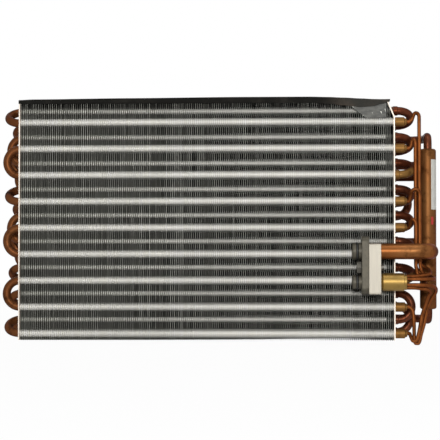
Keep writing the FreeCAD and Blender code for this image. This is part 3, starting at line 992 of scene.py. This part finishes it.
class EVAPORATOR_OT_fins(CorePiece, bpy.types.Operator):
    """Make the plate fins, their collars round the tubes and their pressed ridges"""

    bl_idname = "evaporator.fins"
    bl_label = "Fins and collars"

    def execute(self, context):
        s = sizes()
        span, depth, height = RIGHT_INNER - LEFT_INNER, CORE_HIGH.y - CORE_LOW.y, TOP - FOOT
        count, first_x = fin_layout()
        fins = grown("fins", bpy.data.meshes.new("fins_seed"), "plate_fins", {
            "Count": count,
            "Pitch": s.fin_pitch,
            "Plate size": (s.fin_thickness, depth, height),
            "Start": (first_x, FRONT + depth / 2, FOOT + height / 2),
            "Waver": s.fin_waver,
            "Wave": s.fin_wave,
            "Wave start": WAVE_START,
            "Lean start": RIGHT_INNER - BENT_LEAN,
            "Lean slope": BENT_HEIGHT / BENT_LEAN,
            "Surface": material("fin_aluminium"),
        }, smooth=False)
        settle(fins, "fin_aluminium", "fin_block")
        levels = range(LEVELS)
        front_row = [tube_point(LEFT_INNER, ROW_LETTERS[0] + str(level + 1)) for level in levels]
        rims = [place - Y_AXIS * s.rim_shift for place in front_row]
        ridge_y, ridge_foot = FRONT + FACE_MARGIN, FOOT + RIDGE_FOOT
        ridges = [
            Vector((LEFT_INNER, ridge_y, ridge_foot + level * RIDGE_PITCH)) for level in levels
        ]
        for name, places, radius, length in (
            ("fin_collars", bores(LEFT_INNER), s.collar_radius, span),
            ("front_collar_rims", rims, s.rim_radius, span),
            ("fin_ridges", ridges, s.ridge_radius, span - BENT_LEAN),
        ):
            discs(name, places, radius, radius, length, "collar_aluminium", "fin_aluminium")
        return {"FINISHED"}


class EVAPORATOR_OT_end_plates(CorePiece, bpy.types.Operator):
    """Finish the end plates and raise a flange round each tube hole"""

    bl_idname = "evaporator.end_plates"
    bl_label = "End plates"

    def execute(self, context):
        finish = "end_plate_metal"
        for node in ("left_end_plate", "right_end_plate"):
            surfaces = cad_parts[node].data.materials
            surfaces.clear()
            surfaces.append(material(finish))
        proud, narrow, wide = 0.25 * MM, 4.5 * MM, 5.0 * MM
        left, right = bores(LEFT_OUTER - proud), bores(RIGHT_OUTER)
        discs("left_plate_flanges", left, narrow, wide, proud, finish, finish)
        discs("right_plate_flanges", right, wide, narrow, proud, finish, finish)
        return {"FINISHED"}


class EVAPORATOR_OT_hairpins(CorePiece, bpy.types.Operator):
    """Make the copper hairpins that bend back at the left"""

    bl_idname = "evaporator.hairpins"
    bl_label = "Hairpins"

    def execute(self, context):
        for passes in CIRCUITS:
            for first, second in zip(passes[::2], passes[1::2]):
                node = "hairpin_" + first.lower() + "_" + second.lower()
                piece = tube(node + "_dressed", hairpin_route(first, second), sizes().tube_radius,
                             material("hairpin_copper"))
                settle(piece, "tube_copper", node)
        return {"FINISHED"}


class EVAPORATOR_OT_return_bends(CorePiece, bpy.types.Operator):
    """Make the belled return bends at the right"""

    bl_idname = "evaporator.return_bends"
    bl_label = "Return bends"

    def execute(self, context):
        surface = material("tube_copper")
        for passes in CIRCUITS:
            for first, second in zip(passes[1::2], passes[2::2]):
                node = "return_bend_" + first.lower() + "_" + second.lower()
                ends = (tube_point(STUB_END, first), tube_point(STUB_END, second))
                route = half_turn(ends[0], ends[1], X_AXIS)
                route = [tube_point(STUB_START, first)] + route + [tube_point(STUB_START, second)]
                pieces = [tube(node + "_tube", route, sizes().tube_radius, surface)]
                for tube_name, end in zip((first, second), ends):
                    brazed = tube_name[0] == ROW_LETTERS[0]
                    finish = material("brass") if brazed else surface
                    pieces.append(bell(node + "_bell", end, finish))
                settle(joined(node + "_dressed", pieces), "tube_copper", node)
        return {"FINISHED"}


class EVAPORATOR_OT_outlets(CorePiece, bpy.types.Operator):
    """Make the outlet tubes from the last passes to the header"""

    bl_idname = "evaporator.outlets"
    bl_label = "Outlet tubes"

    def execute(self, context):
        surface = material("tube_copper")
        axis = mid(HEADER)
        inside_header = axis.y + sizes().pipe_radius * 0.6
        for passes in CIRCUITS:
            name = passes[-1]
            node = "outlet_" + name.lower()
            depth, height = tube_place(name)
            bend = min(OUTLET_RADIUS, depth - axis.y - sizes().tube_radius)
            route = [tube_point(STUB_START, name)]
            route += quarter_turn(Vector((axis.x, depth, height)), X_AXIS, -Y_AXIS, bend)
            if HEADER[0].z < height < HEADER[1].z:
                route.append(Vector((axis.x, inside_header, height)))
            else:
                rising = height < HEADER[0].z
                heading = Z_AXIS if rising else -Z_AXIS
                corner = Vector((axis.x, axis.y, height))
                route += quarter_turn(corner, -Y_AXIS, heading, DROP_RADIUS)
                mouth = HEADER[0].z if rising else HEADER[1].z
                route.append(Vector((axis.x, axis.y, mouth)))
            pieces = [tube(node + "_tube", route, sizes().tube_radius, surface)]
            pieces.append(bell(node + "_bell", tube_point(STUB_END, name), surface))
            settle(joined(node + "_dressed", pieces), "tube_copper", node)
        return {"FINISHED"}


class EVAPORATOR_OT_header(CorePiece, bpy.types.Operator):
    """Make the suction header with its bare label and paint dot"""

    bl_idname = "evaporator.header"
    bl_label = "Suction header"

    def execute(self, context):
        axis = mid(HEADER)
        radius = (HEADER[1].x - HEADER[0].x) / 2
        low, high = HEADER[0].z, HEADER[1].z
        rounding = 2.4 * MM
        steps = 5
        foot = []
        for i in range(steps + 1):
            angle = math.pi / 2 * i / steps
            inset = rounding * (1 - math.sin(angle))
            foot.append((low + rounding * (1 - math.cos(angle)), radius - inset))
        head = [(low + high - z, r) for z, r in reversed(foot)]
        copper = material("header_copper")
        piece = turned("header_turned", foot + head, Vector((0, 0, 0)), copper, PIPE_SIDES)
        upright = Matrix(((0, 0, 1, axis.x), (0, 1, 0, axis.y), (1, 0, 0, 0), (0, 0, 0, 1)))
        piece.data.transform(upright)
        piece.data.flip_normals()
        piece.name = "suction_header_dressed"
        settle(piece, "pipe_copper", "suction_header")
        # Right edge in degrees round the header, then in millimetres the bottom and the top below
        # the header's upper end and how far the patch stands proud
        for name, edge, bottom, top, proud, finish in (
            ("header_label", 343, 59.0, 10.5, 0.12, "label_white"),
            ("header_paint_dot", 305, 73.5, 66.0, 0.06, "paint_dot"),
        ):
            self.pad(name, edge, high - bottom * MM, high - top * MM, radius + proud * MM, finish)
        return {"FINISHED"}

    def pad(self, name, edge, low, high, radius, finish):
        """Thin patch bent round the header, up to its right edge."""
        axis = mid(HEADER)
        sunk = radius - 0.5 * MM
        shape = bmesh.new()
        steps = 12
        angles = [math.radians(PAD_LEFT + (edge - PAD_LEFT) * i / steps) for i in range(steps + 1)]
        rows = [
            [
                shape.verts.new((
                    axis.x + reach * math.cos(angle), axis.y + reach * math.sin(angle), z,
                ))
                for angle in angles
            ]
            for reach, z in ((sunk, low), (sunk, high), (radius, high), (radius, low))
        ]
        for first, second in zip(rows, rows[1:] + rows[:1]):
            for i in range(steps):
                shape.faces.new((first[i], first[i + 1], second[i + 1], second[i]))
        for i in (0, steps):
            shape.faces.new([row[i] for row in rows])
        settle(skinned(name, shape, material(finish), smooth=False), "pipe_copper")


class EVAPORATOR_OT_suction_pipe(CorePiece, bpy.types.Operator):
    """Make the suction pipe from the clamp plate to the header"""

    bl_idname = "evaporator.suction_pipe"
    bl_label = "Suction pipe"

    def execute(self, context):
        axis = mid(HEADER)
        corner = Vector((axis.x, PIPE_Y, PIPE_Z))
        route = [Vector((CLAMP[0].x, PIPE_Y, PIPE_Z))]
        route += quarter_turn(corner, X_AXIS, Y_AXIS, ELBOW_RADIUS, steps=18)
        short_of_axis = 1 * MM
        route.append(Vector((axis.x, axis.y - short_of_axis, PIPE_Z)))
        piece = tube("suction_pipe_dressed", route, sizes().pipe_radius, material("pipe_copper"),
                     sides=PIPE_SIDES)
        settle(piece, "pipe_copper", "suction_pipe")
        return {"FINISHED"}


class EVAPORATOR_OT_connection_block(CorePiece, bpy.types.Operator):
    """Finish the connection block, the clamp plate and the bolt"""

    bl_idname = "evaporator.connection_block"
    bl_label = "Connection block"

    def execute(self, context):
        for node, finish, corner, slot in (
            ("connection_block", "block_metal", 0.5, "fitting_aluminium"),
            ("clamp_plate", "fitting_aluminium", 0.5, "fitting_aluminium"),
            ("clamp_bolt", "bolt_steel", 0.3, "bolt_steel"),
        ):
            settle(refined(node, material(finish), corner * MM), slot, node)
        return {"FINISHED"}


class EVAPORATOR_OT_nozzles(CorePiece, bpy.types.Operator):
    """Make the two nozzles and their sealing rings"""

    bl_idname = "evaporator.nozzles"
    bl_label = "Nozzles and rings"

    def execute(self, context):
        rings = []
        chamfer, ring_depth, proud = 0.8 * MM, 1.5 * MM, 0.5 * MM
        bore_depth, narrowing = 6.0 * MM, 0.9
        seat, seat_end = RINGS[0].x, RINGS[1].x
        steps, fullness = 8, 0.8
        for node, box, bore in (
            ("suction_nozzle", NOZZLE, 6.0 * MM),
            ("liquid_nozzle", LIQUID, 3.5 * MM),
        ):
            radius = (box[1].z - box[0].z) / 2
            tip, foot = box[0].x, box[1].x
            groove = radius - ring_depth
            piece = turned(node + "_dressed", [
                (tip + bore_depth, bore * narrowing),
                (tip, bore),
                (tip, radius - chamfer),
                (tip + chamfer, radius),
                (seat, radius),
                (seat, groove),
                (seat_end, groove),
                (seat_end, radius),
                (foot, radius),
            ], mid(box), material("fitting_aluminium"))
            settle(piece, "fitting_aluminium", node)
            profile = []
            for i in range(steps + 1):
                angle = math.pi * i / steps
                x = (seat + seat_end) / 2 - (seat_end - seat) / 2 * math.cos(angle)
                rise = (ring_depth + proud) * math.sin(angle) ** fullness
                profile.append((x, groove + rise))
            rings.append(turned(node + "_ring", profile, mid(box), material("ring_rubber")))
        settle(joined("sealing_rings_dressed", rings), "ring_rubber", "sealing_rings")
        return {"FINISHED"}


class EVAPORATOR_OT_distributor(CorePiece, bpy.types.Operator):
    """Make the turned brass distributor"""

    bl_idname = "evaporator.distributor"
    bl_label = "Distributor"

    def execute(self, context):
        radius = (DISTRIBUTOR[1].z - DISTRIBUTOR[0].z) / 2
        face, end = BLOCK[1].x, DISTRIBUTOR[1].x
        waist, rim, fillet = 1.0 * MM, 2.4 * MM, 0.4 * MM
        piece = turned("distributor_dressed", [
            (DISTRIBUTOR[0].x, STEM_RADIUS),
            (face, STEM_RADIUS),
            (face, radius - waist),
            (face + rim - fillet, radius - fillet),
            (face + rim, radius),
            (end - rim - fillet, radius),
            (end - rim, radius - fillet),
            (end - rim, radius - waist),
            (end - fillet, radius - waist),
            (end, radius - waist - fillet),
        ], mid(DISTRIBUTOR), material("distributor_brass"))
        settle(piece, "brass", "distributor")
        return {"FINISHED"}


class EVAPORATOR_OT_feed_lines(CorePiece, bpy.types.Operator):
    """Make the thin feed lines and the ferrules that they enter"""

    bl_idname = "evaporator.feed_lines"
    bl_label = "Feed lines and ferrules"

    def execute(self, context):
        ferrules = []
        end = FERRULES[1].x
        neck, shoulder, mouth = 2.2 * MM, BELL_RADIUS - 1.1 * MM, BELL_RADIUS - 1.4 * MM
        for name in FEED_ANGLES:
            node = "feed_line_" + name.lower()
            line = tube(node + "_dressed", self.route(name, end), sizes().feed_radius,
                        material("feed_copper"), soft=True, sides=FEED_SIDES)
            for vertex in line.data.vertices:
                vertex.co.z = max(vertex.co.z, CAD_BOX[0][2])
            settle(line, "tube_copper", node)
            ferrules.append(turned("ferrule_" + name.lower(), [
                (STUB_START, BELL_RADIUS - BELL_LIP),
                (STUB_START + BELL_LIP, BELL_RADIUS),
                (end - neck - BELL_LIP, BELL_RADIUS),
                (end - neck + BELL_LIP, shoulder),
                (end - BELL_LIP, mouth),
                (end, sizes().feed_radius),
            ], tube_point(0, name), material("brass"), BELL_SIDES))
        settle(joined("feed_ferrules_dressed", ferrules), "brass", "feed_ferrules")
        return {"FINISHED"}

    def route(self, name, end):
        hub = Vector((DISTRIBUTOR[1].x, mid(DISTRIBUTOR).y, mid(DISTRIBUTOR).z))
        angle = math.radians(FEED_ANGLES[name])
        start = hub + Vector((0, math.cos(angle), math.sin(angle))) * FEED_CIRCLE
        mouth = tube_point(end, name)
        points = [start, start + X_AXIS * FEED_DEPARTURE]
        points += [hub + Vector(step) * MM for step in FEED_DEPARTURES[name]]
        points += [mouth + Vector(step) * MM for step in FEED_ARRIVALS[name]]
        return steadied(points + [mouth + X_AXIS * FEED_ENTRY, mouth])


class EVAPORATOR_OT_seal(CorePiece, bpy.types.Operator):
    """Make the foam tape along the top, its sagging lip and the crushed fins beneath it"""

    bl_idname = "evaporator.seal"
    bl_label = "Foam seal"

    # Stations from the left end, as shares of the tape's length: the top's height above the fins
    # and the front lip's depth below their top, in millimetres.
    STATIONS = (
        (0.0, 2.2, 1.4), (0.04, 2.8, 1.6), (0.3, 3.6, 1.6), (0.6, 4.3, 1.6), (0.79, 4.3, 1.6),
        (0.84, 3.9, 2.6), (0.88, 3.3, 4.2), (0.93, 2.4, 5.7), (0.96, 1.8, 4.9), (0.985, 1.6, 2.6),
        (1.0, 1.7, 1.0),
    )

    def execute(self, context):
        low, high = SEAL
        front = low.y
        lip, crown, hook, skim = 1.6 * MM, 0.8 * MM, 2.2 * MM, 0.2 * MM
        rows = []
        count = 96
        for i in range(count + 1):
            rise, drop = self.station(i / count)
            x = low.x + (high.x - low.x) * (i / count)
            top, bottom = TOP + rise * MM, TOP - drop * MM
            rows.append([
                (x, front, bottom),
                (x, front, top - crown),
                (x, front + crown, top),
                (x, high.y, top),
                (x, high.y, TOP),
                (x, front + lip, TOP),
                (x, front + lip, bottom),
            ])
        rows.append([(x + hook, y, max(z, TOP + skim)) for x, y, z in rows[-1]])
        settle(lofted("top_seal_dressed", rows, material("seal_foam")), "seal_foam", "top_seal")
        self.crushed_fins()
        return {"FINISHED"}

    def station(self, share):
        """Rise and drop at a share of the tape's length, eased between the stations."""
        for first, second in zip(self.STATIONS, self.STATIONS[1:]):
            if share <= second[0]:
                t = (share - first[0]) / (second[0] - first[0])
                t = t * t * (3 - 2 * t)
                return tuple(a + (b - a) * t for a, b in zip(first[1:], second[1:]))
        return self.STATIONS[-1][1:]

    def crushed_fins(self):
        """Fins pressed flat under the lip, as a thin creased sheet on their edges."""
        left, right = RIGHT_OUTER - 41.5 * MM, RIGHT_OUTER - 8.0 * MM
        back, top = FRONT + 0.3 * MM, TOP - 1.0 * MM
        proud, bulge, shallow, deepening = 0.45 * MM, 0.12 * MM, 5.0 * MM, 11.0 * MM
        count = 40
        rows = []
        for i in range(count + 1):
            share = i / count
            x = left + (right - left) * share
            depth = shallow + deepening * min(1.0, share * 2.4)
            crease = bulge * math.sin(share * 37.0) * math.sin(share * 11.0)
            front = FRONT - proud + crease
            rows.append([
                (x, front, TOP - depth),
                (x, front - bulge, TOP - depth * 0.5),
                (x, front, top),
                (x, back, top),
                (x, back, TOP - depth),
            ])
        settle(lofted("crushed_fins", rows, material("crushed_fins")), "fin_aluminium")


class EVAPORATOR_OT_stage(CorePiece, bpy.types.Operator):
    """Make the floor, the lights and the camera"""

    bl_idname = "evaporator.stage"
    bl_label = "Stage"

    def execute(self, context):
        self.floor()
        self.sky()
        self.lamps()
        self.camera()
        bpy.context.scene.view_settings.view_transform = "Standard"
        return {"FINISHED"}

    def floor(self):
        mesh = bpy.data.meshes.new("floor")
        half, whiteness = 6.0, 0.97
        mesh.from_pydata(
            [(-half, -half, 0), (half, -half, 0), (half, half, 0), (-half, half, 0)], [],
            [(0, 1, 2, 3)],
        )
        s = Shader("floor_white")
        plain = s.node("ShaderNodeBsdfDiffuse", {}, {"Color": rgba(WHITE, 0.8)})
        white = s.node("ShaderNodeEmission", {}, {"Color": rgba(WHITE), "Strength": 1.0})
        shown = s.node("ShaderNodeMixShader", {}, {
            0: seen_rays(s) * whiteness, 1: plain.out(0), 2: white.out(0),
        })
        s.node("ShaderNodeOutputMaterial", {}, {"Surface": shown.out(0)})
        mesh.materials.append(s.material)
        put("floor", mesh)

    def sky(self):
        world = bpy.data.worlds.new("studio")
        bpy.context.scene.world = world
        world.use_nodes = True
        s = Shader("studio", world.node_tree)
        lit, seen = (
            s.node("ShaderNodeBackground", {}, {"Color": rgba(WHITE), "Strength": strength}).out(0)
            for strength in (SKY_LIGHT, 1.0)
        )
        shown = s.node("ShaderNodeMixShader", {}, {0: seen_rays(s), 1: lit, 2: seen})
        s.node("ShaderNodeOutputWorld", {}, {"Surface": shown.out(0)})

    def lamps(self):
        aim = Vector((CORE_CENTRE_X, FRONT, (FOOT + TOP) / 2))
        for name, offset, side, power in (
            ("key_lamp", Vector((0.06, -1.7, 0.22)), 0.25, 15.7),
            ("top_lamp", Vector((0.3, -0.5, 1.5)), 0.6, 3.5),
            ("rear_lamp", Vector((-0.5, 1.6, 0.8)), 0.6, 9.0),
        ):
            data = bpy.data.lights.new(name, "AREA")
            data.energy = power
            data.size = side
            lamp = put(name, data)
            lamp.location = aim + offset
            lamp.rotation_euler = (aim - lamp.location).to_track_quat("-Z", "Y").to_euler()

    def camera(self):
        data = bpy.data.cameras.new("camera")
        data.sensor_width = SENSOR_MM
        data.lens = SENSOR_MM * CAMERA_DISTANCE / (IMAGE_SIDE * MM_PER_PIXEL * MM)
        data.clip_end = 30.0
        camera = put("camera", data)
        camera.location = self.face_point(*OPPOSITE_PIXEL) - Y_AXIS * CAMERA_DISTANCE
        heading = self.face_point(*AIM_PIXEL) - camera.location
        camera.rotation_euler = heading.to_track_quat("-Z", "Y").to_euler()
        bpy.context.scene.camera = camera

    def face_point(self, column, row):
        """Point of the inlet face at a pixel of the photograph."""
        return Vector((
            CORE_CENTRE_X + (column - CORE_COLUMN) * MM_PER_PIXEL * MM,
            FRONT,
            FOOT + (FOOT_ROW - row) * MM_PER_PIXEL * MM,
        ))


PIECES = (
    EVAPORATOR_OT_fins,
    EVAPORATOR_OT_end_plates,
    EVAPORATOR_OT_hairpins,
    EVAPORATOR_OT_return_bends,
    EVAPORATOR_OT_outlets,
    EVAPORATOR_OT_header,
    EVAPORATOR_OT_suction_pipe,
    EVAPORATOR_OT_connection_block,
    EVAPORATOR_OT_nozzles,
    EVAPORATOR_OT_distributor,
    EVAPORATOR_OT_feed_lines,
    EVAPORATOR_OT_seal,
    EVAPORATOR_OT_stage,
)


class EVAPORATOR_PT_sidebar(bpy.types.Panel):
    """Lists the core's pieces, sizes and colours"""

    bl_label = "Evaporator core"
    bl_idname = "EVAPORATOR_PT_sidebar"
    bl_space_type = "VIEW_3D"
    bl_region_type = "UI"
    bl_category = "Evaporator core"

    def draw(self, context):
        for piece in PIECES:
            self.layout.operator(piece.bl_idname)
        for group in (context.scene.evaporator_sizes, context.scene.evaporator_colours):
            for name in group.__annotations__:
                self.layout.prop(group, name)


CLASSES = (CoreSizes, CoreColours) + PIECES + (EVAPORATOR_PT_sidebar,)


def register():
    for cls in CLASSES:
        bpy.utils.register_class(cls)
    bpy.types.Scene.evaporator_sizes = PointerProperty(type=CoreSizes)
    bpy.types.Scene.evaporator_colours = PointerProperty(type=CoreColours)


def unregister():
    del bpy.types.Scene.evaporator_colours
    del bpy.types.Scene.evaporator_sizes
    for cls in reversed(CLASSES):
        bpy.utils.unregister_class(cls)


def main():
    register()
    for piece in PIECES:
        group, name = piece.bl_idname.split(".")
        getattr(getattr(bpy.ops, group), name)()


if __name__ == "__main__":
    main()
